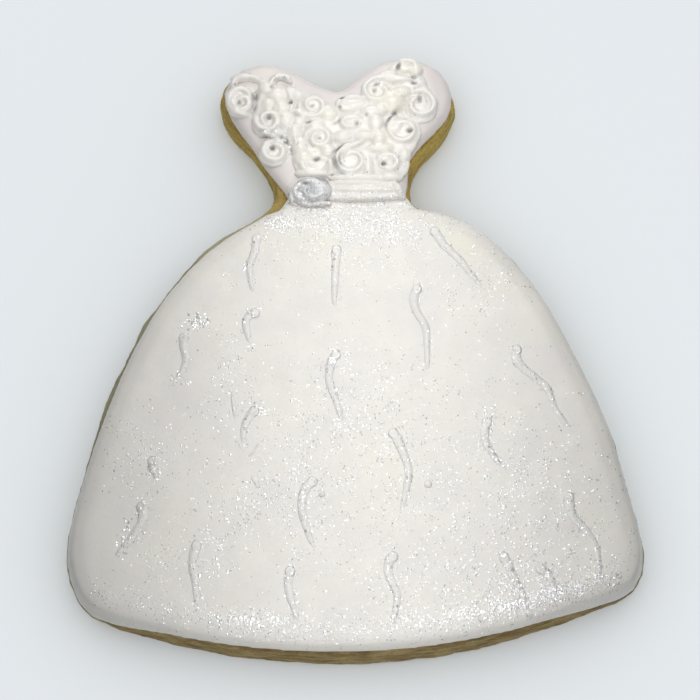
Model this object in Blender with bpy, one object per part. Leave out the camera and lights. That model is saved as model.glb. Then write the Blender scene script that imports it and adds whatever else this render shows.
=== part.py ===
"""Iced sugar cookie cut in the outline of a ball gown, lying flat.

A thick biscuit carries a flooded skirt and a flooded bodice of white icing, a
piped waist band, a small piped rosette, scrolls piped on the bodice and short
wavy lines piped on the skirt. Units in the tables are millimetres; +Z is up
and +Y points from the hem to the bodice.
"""

import math

import bmesh
import bpy
from mathutils import Vector

MM = 0.001

# Heights above the underside.
BISCUIT_TOP = 6.2
GAP = 0.3
ICING_BASE = BISCUIT_TOP + GAP
SKIRT_TOP = 8.9
BODICE_TOP = 8.6
BAND_TOP = 9.7
SCROLL_HEIGHT = 0.95
CURL_HEIGHT = 0.6

# Piped lines: half widths at the two ends and at the middle of a line.
SCROLL_HALF_WIDTH = 0.52
CURL_HEAD = 0.95
CURL_BODY = 0.62
CURL_TAIL = 0.38

SPAN_STEPS = 2  # points that a smooth outline gets for each of its knots
PATH_STEPS = 6  # points that a hand-placed path gets for each of its knots
SPIRAL_STEPS = 20  # points that a spiral gets for each of its turns
SCROLL_SPACING = 0.86  # distance between the rings of a scroll
CURL_SPACING = 1.5  # distance between the rings of a wavy line
LINE_SIDES = 6
TIP_SHARE = 0.45  # size of a piped line's end rings, as a share of its full size
SHARP_ANGLE = 50  # degrees

# The cutter's outline, clockwise from the notch of the neckline.
BISCUIT_OUTLINE = (
    (-3.6, 48.4), (-0.4, 51.2), (4.2, 55.0), (9.4, 56.5), (14.2, 54.9), (17.7, 50.4),
    (18.5, 45.6), (15.4, 40.0), (11.6, 35.6), (10.1, 31.2), (11.0, 27.3), (17.2, 24.3),
    (23.2, 20.9), (29.0, 14.7), (34.6, 5.9), (39.8, -5.4), (44.2, -16.9), (46.9, -28.4),
    (49.0, -38.6), (47.2, -44.6), (41.6, -47.5), (31.3, -51.0), (20.0, -54.0),
    (7.5, -55.8), (-6.0, -56.2), (-21.1, -55.0), (-34.7, -52.3), (-44.3, -49.2),
    (-48.2, -43.6), (-48.9, -36.0), (-46.7, -25.2), (-43.9, -14.0), (-39.6, -2.0),
    (-34.0, 8.6), (-27.0, 17.2), (-19.8, 22.5), (-15.3, 26.2), (-15.0, 31.0),
    (-18.6, 37.4), (-23.2, 42.7), (-25.1, 48.2), (-22.6, 53.2), (-16.2, 55.0),
    (-10.2, 52.9),
)

# The flooded icing stops short of the edge at the left and runs to it at the right.
SKIRT_OUTLINE = (
    (-12.2, 25.3), (0.0, 25.4), (9.8, 25.3), (16.8, 23.8), (23.0, 20.4), (28.8, 14.2),
    (34.3, 5.7), (39.5, -5.5), (43.9, -17.0), (46.6, -28.4), (48.7, -38.6),
    (46.9, -44.8), (41.3, -47.7), (31.0, -51.2), (19.9, -54.0), (7.4, -55.8),
    (-6.0, -56.2), (-21.0, -55.1), (-34.5, -52.5), (-43.8, -49.7), (-47.8, -43.8),
    (-48.5, -36.0), (-46.2, -25.2), (-43.1, -14.2), (-38.7, -2.0), (-33.2, 8.3),
    (-26.3, 16.5), (-19.2, 21.7),
)
BODICE_OUTLINE = (
    (-12.6, 29.9), (-6.0, 30.0), (3.0, 30.0), (9.2, 29.9), (9.9, 34.4), (13.4, 39.2),
    (17.0, 43.4), (17.9, 48.4), (15.5, 53.5), (9.6, 56.1), (3.8, 54.4), (-0.7, 50.5),
    (-3.6, 48.9), (-9.0, 51.6), (-14.6, 54.6), (-20.8, 53.7), (-24.2, 48.8),
    (-22.6, 43.1), (-18.7, 37.0), (-15.7, 32.0),
)

# (inset from the outline, height) of each ring, from the underside up.
BISCUIT_RINGS = (
    (0.7, 0.0), (0.1, 0.6), (0.0, 3.0), (0.15, 5.0), (0.8, BISCUIT_TOP),
)
FLOOD_RINGS = (
    (0.5, 0.0), (0.0, 0.22), (0.15, 0.45), (1.1, 0.82), (3.2, 1.0),
)

# The waist band: its ends, its depth at the right end and its three fused rows.
BAND_LEFT = -11.9
BAND_RIGHT = 9.1
BAND_CENTRE_Y = 27.7
BAND_DEPTH = 3.6
BAND_FLARE = 0.4
BAND_STATIONS = 12
BAND_TIP_SHARE = 0.72
BAND_LEAN = 0.24  # how far the right end leans, low side out
BAND_SECTION = (
    (-0.50, 0.0), (-0.50, 0.55), (-0.40, 0.84), (-0.24, 0.96), (-0.10, 0.90),
    (0.08, 1.0), (0.24, 0.93), (0.38, 0.97), (0.48, 0.62), (0.50, 0.0),
)

# Spiral scrolls of the bodice: centre x, centre y, outer radius, bearing of the
# outer end in degrees, turns (positive anticlockwise), stretch along X.
SPIRALS = (
    (-20.7, 45.7, 1.95, 120, 1.35, 1.0),
    (-15.9, 42.0, 2.35, 150, 1.45, 1.0),
    (-14.5, 35.7, 2.30, 110, 1.45, 1.0),
    (-7.7, 45.0, 2.55, 160, 1.50, 1.0),
    (-6.6, 38.3, 2.35, 200, -1.45, 1.1),
    (-0.4, 41.4, 1.38, 40, 1.05, 2.0),
    (9.4, 53.2, 1.65, 300, 1.30, 1.35),
    (12.0, 45.3, 3.0, 127, -1.35, 1.0),
    (8.8, 40.1, 2.9, 110, 1.35, 1.0),
    (-0.6, 33.9, 3.2, 75, 1.30, 1.0),
    (6.0, 33.3, 1.90, 170, -1.40, 1.15),
)
SPIRAL_EYE = 0.34  # radius at the inner end, as a share of the outer radius

# Short hooks and arches between the spirals, through hand-placed points.
HOOKS = (
    ((-17.0, 50.3), (-19.8, 51.1), (-22.0, 50.6), (-22.3, 49.1), (-20.2, 48.6)),
    ((-15.5, 47.6), (-15.2, 50.3), (-13.3, 51.4), (-11.7, 50.0)),
    ((-13.4, 48.2), (-12.0, 47.3), (-11.5, 45.2), (-12.1, 42.9)),
    ((-11.2, 40.9), (-10.9, 38.6), (-10.3, 36.2)),
    ((-10.1, 34.1), (-8.9, 31.9), (-6.3, 31.9), (-5.2, 34.0)),
    ((2.1, 46.3), (-0.3, 46.8), (-3.0, 45.9), (-2.4, 44.3), (0.4, 44.2)),
    ((8.3, 48.4), (7.9, 46.4), (7.0, 44.6)),
    ((10.2, 50.6), (6.5, 50.9), (3.4, 50.6), (1.7, 48.8), (2.7, 46.6), (5.0, 46.4),
     (5.9, 48.2), (4.3, 49.0)),
)

# The silver rosette at the left of the waist.
ROSETTE = (-7.7, 27.2, 2.35, 200, -1.3, 1.3)
ROSETTE_HALF_WIDTH = 0.66
ROSETTE_HEIGHT = 1.0

# Wavy lines of the skirt, each from its round head to its thin tail.
CURLS = (
    ((-29.9, -0.2), (-29.9, -2.6), (-29.3, -4.7), (-29.9, -7.0), (-31.4, -8.9)),
    ((-17.5, 18.9), (-17.7, 16.0), (-18.6, 13.3), (-18.5, 10.6), (-17.9, 7.6)),
    ((-17.0, 4.2), (-19.1, 3.1), (-19.0, 0.6), (-18.1, -2.4)),
    ((-3.3, 16.8), (-3.4, 13.8), (-3.5, 10.6), (-3.7, 7.6), (-3.6, 4.8)),
    ((-3.3, -3.4), (-4.3, -6.0), (-4.5, -9.0), (-3.2, -12.8), (-2.1, -16.8)),
    ((10.9, 9.0), (10.2, 6.4), (10.9, 3.8), (12.3, 1.4), (12.5, -2.0), (12.5, -7.2)),
    ((14.2, 20.2), (15.6, 17.2), (18.1, 14.7), (20.2, 11.8), (22.4, 8.8)),
    ((28.1, -2.4), (27.9, -5.0), (30.4, -7.6), (33.2, -10.2), (34.4, -14.0), (36.7, -17.4)),
    ((6.5, -17.9), (8.0, -21.5), (9.1, -25.2), (8.6, -28.8), (7.7, -32.6)),
    ((-7.3, -26.7), (-8.8, -29.2), (-9.0, -32.4), (-8.0, -36.0), (-6.8, -38.9)),
    ((-17.4, -14.0), (-19.0, -17.2), (-19.1, -20.4)),
    ((-34.5, -22.9), (-34.6, -25.1), (-33.6, -26.4)),
    ((-36.1, -31.0), (-35.8, -34.0), (-37.6, -37.0), (-40.0, -40.2)),
    ((-26.6, -37.8), (-27.2, -41.4), (-26.6, -45.0), (-26.3, -48.8)),
    ((-10.9, -42.2), (-11.2, -45.4), (-10.3, -48.8), (-9.4, -51.6)),
    ((6.3, -39.8), (5.3, -42.8), (6.9, -46.4), (6.6, -49.8), (5.9, -52.0)),
    ((24.8, -39.9), (26.1, -43.4), (27.8, -46.9), (28.0, -48.9)),
    ((36.1, -29.2), (36.4, -33.0), (38.6, -35.6), (40.4, -39.0), (40.7, -43.6)),
    ((22.6, -15.8), (22.1, -19.6), (23.6, -22.6), (25.0, -24.6)),
    ((30.9, -42.0), (32.7, -44.4), (33.2, -47.0)),
)


def smooth_points(knots, steps, closed):
    """Points of a Catmull-Rom curve through the knots."""
    count = len(knots)
    spans = count if closed else count - 1
    points = []
    for i in range(spans):
        if closed:
            near = [knots[(i + k) % count] for k in (-1, 0, 1, 2)]
        else:
            near = [knots[min(max(i + k, 0), count - 1)] for k in (-1, 0, 1, 2)]
        a, b, c, d = (Vector(p) for p in near)
        for s in range(steps):
            t = s / steps
            points.append(
                0.5 * (2 * b + (c - a) * t + (2 * a - 5 * b + 4 * c - d) * t**2
                       + (3 * b - a - 3 * c + d) * t**3)
            )
    if not closed:
        points.append(Vector(knots[-1]))
    return points


def even_points(points, spacing):
    """The same open path with points at an even spacing."""
    lengths = [0.0]
    for a, b in zip(points, points[1:]):
        lengths.append(lengths[-1] + (b - a).length)
    pieces = max(2, round(lengths[-1] / spacing))
    found = []
    for i in range(pieces + 1):
        target = lengths[-1] * i / pieces
        k = max(j for j in range(len(points) - 1) if lengths[j] <= target + 1e-9)
        share = (target - lengths[k]) / (lengths[k + 1] - lengths[k])
        found.append(points[k].lerp(points[k + 1], min(share, 1.0)))
    return found


def inset_points(points, distance):
    """A closed clockwise or anticlockwise outline moved inwards by a distance."""
    count = len(points)
    area = sum(
        points[i].x * points[(i + 1) % count].y - points[(i + 1) % count].x * points[i].y
        for i in range(count)
    )
    side = 1.0 if area > 0 else -1.0
    moved = []
    for i, point in enumerate(points):
        along = (points[(i + 1) % count] - points[i - 1]).normalized()
        moved.append(point + side * distance * Vector((-along.y, along.x)))
    return moved


def material(name, colour, roughness, metallic=0.0):
    made = bpy.data.materials.new(name)
    made.use_nodes = True
    shader = made.node_tree.nodes["Principled BSDF"]
    shader.inputs["Base Color"].default_value = (*colour, 1.0)
    shader.inputs["Roughness"].default_value = roughness
    shader.inputs["Metallic"].default_value = metallic
    return made


def loft(name, rings, finish):
    """A closed solid through rings of equal length, capped at both ends."""
    mesh = bmesh.new()
    layers = [[mesh.verts.new(Vector(p) * MM) for p in ring] for ring in rings]
    count = len(layers[0])
    for lower, upper in zip(layers, layers[1:]):
        for i in range(count):
            j = (i + 1) % count
            mesh.faces.new((lower[i], lower[j], upper[j], upper[i]))
    mesh.faces.new(layers[0])
    mesh.faces.new(layers[-1])
    bmesh.ops.recalc_face_normals(mesh, faces=mesh.faces)
    bmesh.ops.triangulate(mesh, faces=[f for f in mesh.faces if len(f.verts) > 4])
    data = bpy.data.meshes.new(name)
    mesh.to_mesh(data)
    mesh.free()
    data.shade_smooth()
    data.set_sharp_from_angle(angle=math.radians(SHARP_ANGLE))
    data.materials.append(finish)
    made = bpy.data.objects.new(name, data)
    bpy.context.scene.collection.objects.link(made)
    return made


def slab(name, outline, rings, finish):
    """A flat piece whose edge is rounded by rings of (inset, height)."""
    points = smooth_points(outline, SPAN_STEPS, True)
    layers = []
    for inset, height in rings:
        layers.append([(p.x, p.y, height) for p in inset_points(points, inset)])
    return loft(name, layers, finish)


def flood(name, outline, top, finish):
    """Flooded icing: a low cushion between ICING_BASE and its top."""
    depth = top - ICING_BASE
    rings = [(inset, ICING_BASE + share * depth) for inset, share in FLOOD_RINGS]
    return slab(name, outline, rings, finish)


def piped_line(name, path, half_width, base, height, finish):
    """A line with a flat underside and a round top; half_width(t) for t from 0 to 1."""
    count = len(path)
    rings = []
    for i, point in enumerate(path):
        ahead = path[min(i + 1, count - 1)]
        behind = path[max(i - 1, 0)]
        along = (ahead - behind).normalized()
        across = Vector((-along.y, along.x))
        end_share = TIP_SHARE if i in (0, count - 1) else 1.0
        width = half_width(i / (count - 1)) * end_share
        ring = []
        for k in range(LINE_SIDES):
            turn = math.pi * k / (LINE_SIDES - 1)
            spot = point + across * width * math.cos(turn)
            rise = height * end_share * math.sin(turn)
            ring.append((spot.x, spot.y, base + rise))
        rings.append(ring)
    return loft(name, rings, finish)


def spiral_path(centre_x, centre_y, radius, bearing, turns, stretch):
    """Points from the outer end of a spiral to its eye."""
    steps = round(abs(turns) * SPIRAL_STEPS)
    points = []
    for i in range(steps + 1):
        t = i / steps
        angle = math.radians(bearing) + 2 * math.pi * turns * t
        reach = radius * (1 - (1 - SPIRAL_EYE) * t)
        offset = Vector((stretch * reach * math.cos(angle), reach * math.sin(angle)))
        points.append(Vector((centre_x, centre_y)) + offset)
    return points


def scroll_width(t):
    return SCROLL_HALF_WIDTH


def rosette_width(t):
    return ROSETTE_HALF_WIDTH


def curl_width(t):
    """Round head, even body and thin tail."""
    head = (CURL_HEAD - CURL_BODY) * max(0.0, 1 - t / 0.3)
    tail = (CURL_BODY - CURL_TAIL) * max(0.0, (t - 0.5) / 0.5)
    return CURL_BODY + head - tail


def waist_band(finish):
    """Three fused rows of piping across the waist, wider towards the right end."""
    rings = []
    for i in range(BAND_STATIONS + 1):
        t = i / BAND_STATIONS
        end_share = BAND_TIP_SHARE if i in (0, BAND_STATIONS) else 1.0
        x = BAND_LEFT + (BAND_RIGHT - BAND_LEFT) * t
        depth = (BAND_DEPTH - BAND_FLARE * (1 - t)) * end_share
        rise = (BAND_TOP - ICING_BASE) * end_share
        rings.append([
            (x - BAND_LEAN * t * share, BAND_CENTRE_Y + depth * share,
             ICING_BASE + rise * height)
            for share, height in BAND_SECTION
        ])
    return loft("waist_band", rings, finish)


def pipe_scrolls(finish):
    """The spirals, hooks and arches of the bodice."""
    base = BODICE_TOP + GAP
    paths = [spiral_path(*spiral) for spiral in SPIRALS]
    paths += [smooth_points(hook, PATH_STEPS, False) for hook in HOOKS]
    for number, points in enumerate(paths, start=1):
        path = even_points(points, SCROLL_SPACING)
        piped_line(f"scroll_{number:02d}", path, scroll_width, base, SCROLL_HEIGHT, finish)


def pipe_rosette(finish):
    path = even_points(spiral_path(*ROSETTE), SCROLL_SPACING)
    piped_line("rosette", path, rosette_width, BAND_TOP + GAP, ROSETTE_HEIGHT, finish)


def pipe_curls(finish):
    """The wavy lines of the skirt."""
    base = SKIRT_TOP + GAP
    for number, curl in enumerate(CURLS, start=1):
        path = even_points(smooth_points(curl, PATH_STEPS, False), CURL_SPACING)
        piped_line(f"curl_{number:02d}", path, curl_width, base, CURL_HEIGHT, finish)


def main():
    for old in list(bpy.data.objects):
        bpy.data.objects.remove(old, do_unlink=True)

    baked = material("baked_biscuit", (0.42, 0.27, 0.11), 0.75)
    white = material("white_icing", (0.86, 0.84, 0.80), 0.35)
    silver = material("silver_lustre", (0.55, 0.55, 0.56), 0.4, 0.6)

    slab("biscuit", BISCUIT_OUTLINE, BISCUIT_RINGS, baked)
    flood("skirt_icing", SKIRT_OUTLINE, SKIRT_TOP, white)
    flood("bodice_icing", BODICE_OUTLINE, BODICE_TOP, white)
    waist_band(white)
    pipe_scrolls(white)
    pipe_rosette(silver)
    pipe_curls(white)


main()
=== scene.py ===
"""Iced sugar cookie in the outline of a ball gown: its shapes, finishes, lights and camera.

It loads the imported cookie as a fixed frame, models every visible piece around that frame
and gives each one its finish. Lengths are metres; the tables of places are millimetres.
+Z is up and +Y points from the hem to the bodice.
"""

import math
import random
from typing import NamedTuple

import bpy
import numpy as np
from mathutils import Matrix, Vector, noise
from mathutils.bvhtree import BVHTree
from mathutils.kdtree import KDTree


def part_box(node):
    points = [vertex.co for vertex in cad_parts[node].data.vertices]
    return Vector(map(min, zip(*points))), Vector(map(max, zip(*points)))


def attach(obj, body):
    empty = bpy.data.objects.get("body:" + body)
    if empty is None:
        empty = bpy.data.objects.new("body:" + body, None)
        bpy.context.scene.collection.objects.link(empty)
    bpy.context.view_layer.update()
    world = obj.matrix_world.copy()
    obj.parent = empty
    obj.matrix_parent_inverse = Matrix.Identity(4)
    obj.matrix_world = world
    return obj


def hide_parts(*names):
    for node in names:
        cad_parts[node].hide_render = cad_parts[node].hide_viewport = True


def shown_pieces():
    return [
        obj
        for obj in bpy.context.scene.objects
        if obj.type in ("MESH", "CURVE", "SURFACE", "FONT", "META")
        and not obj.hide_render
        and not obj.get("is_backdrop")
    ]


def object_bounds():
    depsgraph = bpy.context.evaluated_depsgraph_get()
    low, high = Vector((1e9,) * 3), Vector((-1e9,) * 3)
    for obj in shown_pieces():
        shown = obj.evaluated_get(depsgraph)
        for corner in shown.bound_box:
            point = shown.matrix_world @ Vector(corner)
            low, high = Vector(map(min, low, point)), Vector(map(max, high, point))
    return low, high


bl_info = {
    "name": "Ball gown cookie",
    "version": (1, 0, 0),
    "blender": (4, 5, 0),
    "location": "View3D > Sidebar > Cookie",
    "description": "Models and finishes an iced sugar cookie around its packed frame",
    "category": "Object",
}

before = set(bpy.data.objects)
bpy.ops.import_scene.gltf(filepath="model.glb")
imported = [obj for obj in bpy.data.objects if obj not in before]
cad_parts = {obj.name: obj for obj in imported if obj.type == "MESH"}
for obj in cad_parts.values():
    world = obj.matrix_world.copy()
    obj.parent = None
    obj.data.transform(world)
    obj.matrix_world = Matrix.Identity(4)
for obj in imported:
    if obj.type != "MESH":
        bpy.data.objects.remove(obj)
CAD_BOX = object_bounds()

MM = 0.001
SEED = 7

SCROLL_NODES = sorted(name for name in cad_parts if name.startswith("scroll_"))
CURL_NODES = sorted(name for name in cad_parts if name.startswith("curl_"))

# Below this y, the biscuit's foot spreads outwards; beyond this x, it draws in again.
HEM_START = -28.0 * MM
HEM_MIDDLE = 36.0 * MM

# Gap that the frame leaves between its solids, which the real icing closes.
FRAME_GAP = 0.3 * MM
TOUCH = 0.05 * MM
DOWN = Vector((0.0, 0.0, -1.0))
# Height above the cookie from which a ray looks down for a surface.
RAY_START = 50.0 * MM


class Spot(NamedTuple):
    """A soft round or oval place, in millimetres."""

    x: float
    y: float
    reach_x: float
    reach_y: float
    strength: float = 1.0
    turn: float = 0.0


class Dab(NamedTuple):
    """A flattened ball of icing: its centre, reach and height in millimetres, and its turn."""

    x: float
    y: float
    reach_x: float
    reach_y: float
    height: float
    turn: float = 0.0


class Zone(NamedTuple):
    """A cloud of glitter: its place in millimetres and its number of flakes of each kind."""

    x: float
    y: float
    reach_x: float
    reach_y: float
    bright: int
    grey: int
    coarse: float = 1.0


# Small deep pits at the eyes of the scrolls and where their strokes part; each is pressed in and also
# painted dark, a painted shade.
PITS = (
    Spot(-18.25, 46.9, 0.50, 1.05, 1.0, -8.0), Spot(-18.45, 44.4, 0.32, 0.65, 0.9, -25.0),
    Spot(-21.2, 45.6, 0.32, 0.50, 0.7), Spot(-21.8, 49.2, 0.60, 0.35, 0.7),
    Spot(-15.7, 42.5, 0.42, 0.48), Spot(-15.0, 36.2, 0.45, 0.50),
    Spot(-11.75, 45.6, 0.42, 0.40), Spot(-8.5, 41.5, 0.50, 0.26, 0.8, 15.0),
    Spot(-6.5, 38.2, 0.30, 0.30, 0.5), Spot(-6.9, 34.0, 0.62, 0.42, 1.0, 40.0),
    Spot(-2.5, 46.6, 0.50, 0.35, 1.0), Spot(-2.8, 44.6, 0.30, 0.45, 0.7),
    Spot(0.4, 41.2, 0.35, 0.55, 0.6), Spot(5.15, 33.0, 0.48, 0.42, 1.0, 40.0),
    Spot(7.4, 43.5, 0.50, 0.34, 1.0, 20.0), Spot(10.0, 39.8, 0.48, 0.40),
    Spot(11.85, 46.3, 0.30, 0.80, 0.8), Spot(11.0, 49.7, 0.60, 0.28, 0.9),
    Spot(8.0, 53.1, 0.36, 0.80, 1.0, -12.0), Spot(10.9, 50.9, 0.55, 0.35, 0.8),
    Spot(4.1, 49.4, 0.65, 0.30, 0.7, 35.0), Spot(3.6, 48.0, 0.28, 0.45, 0.6),
    Spot(-15.2, 48.8, 0.35, 0.40, 0.6), Spot(-12.6, 49.6, 0.95, 0.30, 0.8, -12.0),
    Spot(-13.4, 38.4, 0.32, 0.32, 0.8), Spot(-12.5, 37.6, 0.34, 0.70, 1.0, 20.0),
    Spot(-7.8, 44.9, 0.28, 0.28, 0.5), Spot(2.0, 43.0, 0.30, 0.30, 0.4),
)

# Silver dust rubbed into the dips, with painted shade: some spots darken the dips and paint the
# shadow under the left scroll's lower stroke.
SMEARS_AND_SHADE = (
    Spot(-18.3, 46.9, 0.75, 1.35, 0.8), Spot(-18.4, 44.8, 0.55, 1.1, 0.6),
    Spot(-13.6, 38.7, 0.50, 0.60, 0.8, 30.0), Spot(-12.5, 37.6, 0.45, 0.90, 0.8, 25.0),
    Spot(-11.5, 35.8, 0.30, 0.90, 0.5), Spot(-3.2, 33.4, 1.10, 1.30, 0.62),
    Spot(-3.1, 35.9, 1.60, 0.36, 1.0, 42.0), Spot(-3.4, 41.5, 0.40, 0.80, 0.9, -50.0),
    Spot(6.4, 42.4, 1.70, 0.38, 1.0, 52.0), Spot(5.5, 41.0, 0.34, 0.80, 0.7),
    Spot(-16.2, 38.5, 1.40, 0.26, 0.8, 2.0), Spot(-16.4, 39.9, 1.30, 0.35, 0.35),
    Spot(-16.0, 41.6, 1.5, 1.3, 0.16), Spot(3.9, 48.6, 0.9, 1.0, 0.22),
    Spot(-0.2, 33.8, 1.2, 1.2, 0.12), Spot(-9.4, 45.0, 0.8, 0.9, 0.14),
    Spot(11.0, 49.2, 1.1, 1.1, 0.22), Spot(-13.9, 50.3, 1.6, 0.5, 0.35),
    Spot(-8.8, 28.6, 1.9, 0.8, 0.3), Spot(-11.2, 33.8, 0.5, 1.6, 0.14),
    Spot(-2.5, 31.1, 1.2, 0.30, 0.35, -30.0), Spot(-20.6, 44.9, 1.6, 1.4, 0.14),
)

# The icing that fills the bodice between and under the scrolls, heaped dab by dab.
DABS = (
    Dab(-14.5, 45.5, 5.2, 4.4, 0.75), Dab(-11.5, 39.5, 4.2, 4.4, 0.75),
    Dab(-7.6, 34.6, 4.0, 4.4, 0.75), Dab(-5.5, 41.5, 5.0, 4.6, 0.75),
    Dab(0.5, 41.0, 6.0, 5.0, 0.75), Dab(0.6, 34.4, 6.4, 4.9, 0.75),
    Dab(5.0, 46.4, 4.5, 4.6, 0.80), Dab(6.6, 39.0, 5.0, 5.2, 0.75),
    Dab(9.8, 49.4, 3.6, 3.6, 0.75), Dab(6.4, 33.6, 3.6, 3.8, 0.70),
    Dab(-20.6, 51.0, 2.5, 0.9, 1.25, 6.0), Dab(-21.1, 46.3, 2.5, 3.0, 0.75),
    Dab(-16.2, 48.7, 1.7, 1.7, 1.05), Dab(-14.2, 47.3, 2.4, 2.0, 1.20),
    Dab(-11.8, 47.8, 1.9, 1.5, 1.15), Dab(-10.4, 47.2, 1.3, 1.3, 1.0),
    Dab(-15.9, 45.2, 1.6, 1.7, 1.05), Dab(-13.5, 44.5, 2.2, 2.0, 1.20),
    Dab(-12.6, 41.9, 1.9, 2.3, 1.20), Dab(-11.0, 39.6, 1.7, 2.2, 1.10),
    Dab(-16.1, 41.3, 2.8, 2.6, 0.80), Dab(-14.7, 35.3, 2.8, 2.6, 0.80),
    Dab(-16.2, 39.1, 1.4, 0.55, 1.30, -2.0), Dab(-7.5, 45.2, 2.7, 2.5, 0.85),
    Dab(-9.9, 43.2, 1.9, 0.9, 1.25, -35.0), Dab(-10.2, 41.6, 1.8, 1.6, 1.1),
    Dab(-4.9, 43.4, 2.1, 2.2, 1.15), Dab(-7.2, 41.0, 2.6, 1.7, 1.1),
    Dab(-6.7, 38.4, 2.7, 2.4, 0.85), Dab(-9.9, 36.8, 1.8, 2.2, 1.1),
    Dab(-9.2, 34.3, 2.1, 1.8, 1.1), Dab(-6.9, 32.8, 2.6, 1.7, 1.1),
    Dab(-4.9, 35.7, 1.8, 1.6, 1.1), Dab(-7.6, 31.3, 3.4, 1.0, 1.15),
    Dab(-0.3, 45.2, 3.3, 1.7, 1.0), Dab(2.9, 43.8, 2.4, 1.8, 1.15),
    Dab(-0.4, 41.3, 3.3, 2.0, 0.85), Dab(3.8, 41.4, 1.7, 2.2, 1.15),
    Dab(1.8, 38.9, 2.9, 1.3, 1.1), Dab(-2.2, 38.7, 2.3, 1.4, 1.05),
    Dab(4.4, 38.3, 1.7, 2.0, 1.15), Dab(4.4, 36.3, 3.4, 1.2, 1.15, 4.0),
    Dab(-0.6, 33.6, 3.4, 3.0, 0.85), Dab(-0.6, 36.6, 3.2, 0.8, 1.25, 30.0),
    Dab(2.4, 32.6, 1.2, 2.6, 1.1), Dab(0.8, 30.4, 5.6, 0.9, 1.15),
    Dab(6.4, 30.5, 2.4, 0.9, 1.05),
    Dab(6.0, 32.8, 2.8, 2.5, 0.80), Dab(8.9, 35.0, 1.3, 1.5, 0.95),
    Dab(4.0, 48.5, 2.9, 2.5, 0.90), Dab(6.7, 46.0, 2.5, 2.8, 1.30),
    Dab(4.8, 44.5, 2.1, 1.7, 1.25), Dab(8.6, 47.9, 2.3, 1.3, 1.25),
    Dab(8.2, 50.4, 3.4, 0.8, 1.20, 3.0), Dab(6.2, 51.7, 2.4, 0.9, 1.10, 8.0),
    Dab(8.8, 52.9, 2.7, 1.5, 0.95), Dab(11.2, 52.4, 1.4, 1.6, 1.20, -30.0),
    Dab(12.1, 44.6, 3.0, 3.1, 0.80), Dab(12.7, 48.3, 1.7, 1.0, 1.15, -40.0),
    Dab(9.0, 39.8, 3.2, 3.1, 0.85), Dab(7.3, 40.6, 1.9, 2.4, 1.1, -35.0),
    Dab(-21.2, 43.6, 2.0, 0.8, 1.0, -12.0), Dab(-23.0, 46.0, 0.7, 2.2, 0.95, 8.0),
)

# Rows of icing that make up the waist band, and its bulging right end.
BAND_ROWS = (
    Dab(0.9, 29.2, 7.0, 0.95, 1.25, -1.0), Dab(1.6, 27.9, 7.4, 0.95, 1.32, -0.5),
    Dab(1.6, 26.6, 7.8, 0.90, 0.95, 1.0), Dab(7.7, 28.1, 0.9, 2.3, 1.15, 29.0),
    Dab(-9.6, 28.4, 2.7, 1.9, 0.90), Dab(-10.2, 25.9, 2.0, 1.2, 0.75),
)

# How deep a wavy line's tail is sunk and how much lower it is, as shares of its height.
CURL_TAPER = 0.6
CURL_THINNING = 0.45
# Further from every wavy line than this, icing counts as a stroke of its own.
CURL_REACH = 2.0 * MM

# Faint short strokes and blobs between the wavy lines.
EXTRA_CURLS = (
    Dab(-20.9, -13.5, 0.36, 3.0, 0.50, 8.0), Dab(-19.8, -20.4, 0.36, 2.2, 0.55, 24.0),
    Dab(-17.3, -21.5, 0.36, 1.6, 0.50, -35.0), Dab(-17.0, -27.2, 0.36, 1.5, 0.50, 30.0),
    Dab(12.3, -27.6, 0.75, 0.75, 0.8), Dab(-5.6, -29.4, 0.6, 0.5, 0.8),
)

# Where the biscuit stands out past the icing, its strength in millimetres.
BARE_EDGES = (
    Spot(-24.5, 18.4, 7.5, 2.2, 0.65, 38.0), Spot(-36.9, 2.6, 3.4, 1.8, 0.55, 62.0),
    Spot(-42.8, -11.2, 6.0, 1.8, 0.45, 71.0), Spot(27.0, 17.4, 4.0, 2.0, 0.35, -42.0),
    Spot(39.5, -9.0, 26.0, 6.0, 0.18, -69.0), Spot(-13.6, 26.0, 0.8, 3.0, 0.20),
    Spot(11.2, 26.6, 2.0, 1.8, -1.0), Spot(14.2, 24.8, 2.6, 1.4, -0.7, -25.0),
)

# Painted light: where the biscuit's bare edge is painted paler and greyer, standing in for light on
# its shaded side wall.
PAINTED_LIGHT_EDGES = (
    Spot(-24.5, 18.4, 9.0, 3.0, 0.75, 38.0), Spot(-36.9, 2.6, 7.0, 3.0, 0.75, 62.0),
    Spot(-42.8, -11.2, 9.0, 3.0, 0.75, 71.0), Spot(-48.0, -32.0, 18.0, 4.0, 0.85, 83.0),
    Spot(27.0, 17.4, 6.0, 3.0, 0.75, -42.0), Spot(43.0, -16.0, 30.0, 6.0, 0.85, -69.0),
)

# Where the skirt's icing is a little yellower, and the same on the scrolls.
SKIRT_CREAM = (
    Spot(18.5, 17.0, 7.0, 2.6, 0.8, -35.0), Spot(-20.0, 15.5, 2.0, 1.5, 0.5),
    Spot(24.8, 9.5, 2.5, 2.0, 0.5), Spot(5.0, -24.0, 6.0, 5.0, 0.35),
    Spot(-9.0, 18.0, 8.0, 4.0, 0.4),
)
SCROLL_CREAM = (
    Spot(6.6, 46.2, 3.4, 3.4, 1.0), Spot(-13.8, 44.5, 3.0, 2.6, 0.6),
    Spot(4.5, 37.5, 4.0, 3.5, 0.5), Spot(-8.0, 35.0, 3.5, 3.5, 0.5),
    Spot(9.8, 52.6, 2.5, 1.6, 0.6), Spot(-5.0, 42.5, 3.0, 2.5, 0.5),
)

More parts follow.
